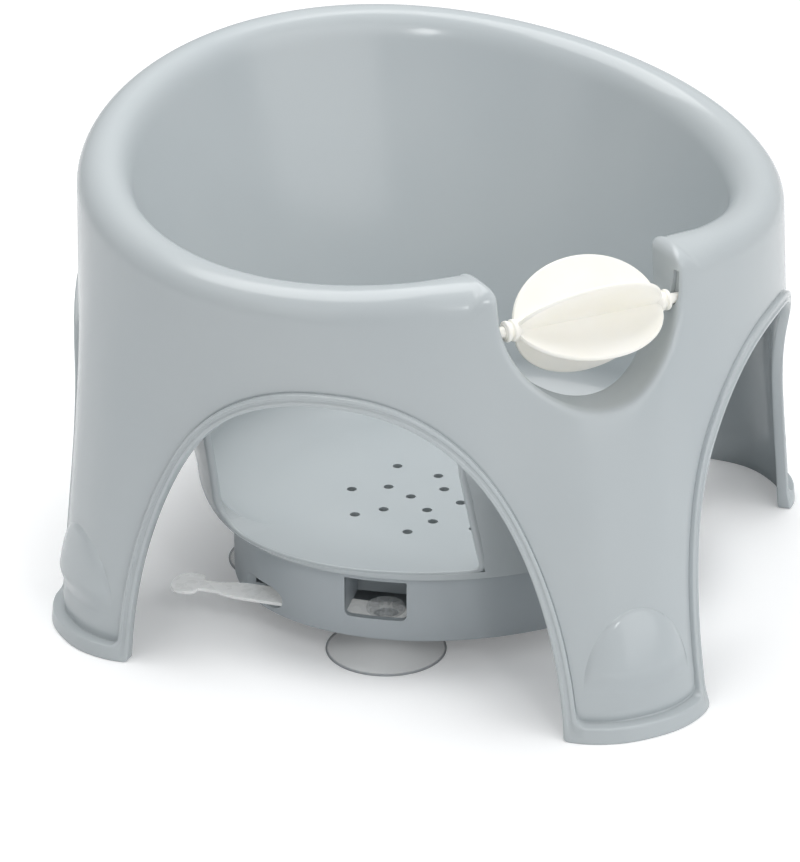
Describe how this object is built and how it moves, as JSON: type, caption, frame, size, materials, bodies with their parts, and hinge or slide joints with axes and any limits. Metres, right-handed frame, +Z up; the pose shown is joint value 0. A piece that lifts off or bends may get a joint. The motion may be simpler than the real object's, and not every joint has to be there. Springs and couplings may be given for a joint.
{
  "type": "baby bath seat",
  "caption": "Grey plastic baby bath ring seat on splayed legs, with a rolled rim, a bowl with leg openings, an oval suction base and a cream finned play roller.",
  "frame": {"origin": "on the floor, under the middle of the seat's width and depth", "axes": "+Z up; the notch and the play roller face -Y; the width runs along X"},
  "size_m": [0.364, 0.388, 0.2157],
  "materials": {
    "shell_grey": "glossy injection-moulded polypropylene, cool light grey",
    "base_grey": "satin injection-moulded polypropylene, cool grey",
    "cream_plastic": "satin cream plastic",
    "clear_rubber": "soft translucent milky vinyl",
    "clear_plastic": "translucent milky plastic",
    "screw_steel": "stainless self-tapping screw"
  },
  "bodies": {
    "frame": {"outer_shell": "shell_grey", "seat_bowl": "shell_grey", "base_drum": "base_grey", "base_plate": "base_grey", "base_screw_front": "screw_steel", "base_screw_right": "screw_steel", "base_screw_back": "screw_steel", "base_screw_left": "screw_steel", "suction_cup_rear_left": "clear_rubber", "suction_cup_rear_right": "clear_rubber"},
    "roller": {"play_roller": "cream_plastic"},
    "lever_left": {"release_lever_left": "clear_plastic"},
    "lever_right": {"release_lever_right": "clear_plastic"},
    "cup_front_left": {"suction_cup_front_left": "clear_rubber"},
    "cup_front_right": {"suction_cup_front_right": "clear_rubber"}
  },
  "joints": [
    {"name": "roller_spin", "type": "hinge", "parent": "frame", "child": "roller", "pos_m": [0, -0.131, 0.164], "axis": [1, 0, 0], "continuous": true},
    {"name": "lever_left_tilt", "type": "hinge", "parent": "frame", "child": "lever_left", "pos_m": [-0.10231, -0.03269, 0.0164], "axis": [-0.7071, -0.7071, 0], "range_deg": [0, 2.5]},
    {"name": "cup_front_left_lift", "type": "slide", "parent": "frame", "child": "cup_front_left", "axis": [0, 0, 1], "range_m": [0, 0.0029], "stiffness_N_per_m": 40},
    {"name": "lever_right_tilt", "type": "hinge", "parent": "frame", "child": "lever_right", "pos_m": [0.10231, -0.03269, 0.0164], "axis": [-0.7071, 0.7071, 0], "range_deg": [0, 2.5]},
    {"name": "cup_front_right_lift", "type": "slide", "parent": "frame", "child": "cup_front_right", "axis": [0, 0, 1], "range_m": [0, 0.0029], "stiffness_N_per_m": 40}
  ],
  "couplings": [
    {"joint": "lever_left_tilt", "follows": "cup_front_left_lift", "rad_per_m": 14.925},
    {"joint": "lever_right_tilt", "follows": "cup_front_right_lift", "rad_per_m": 14.925}
  ]
}
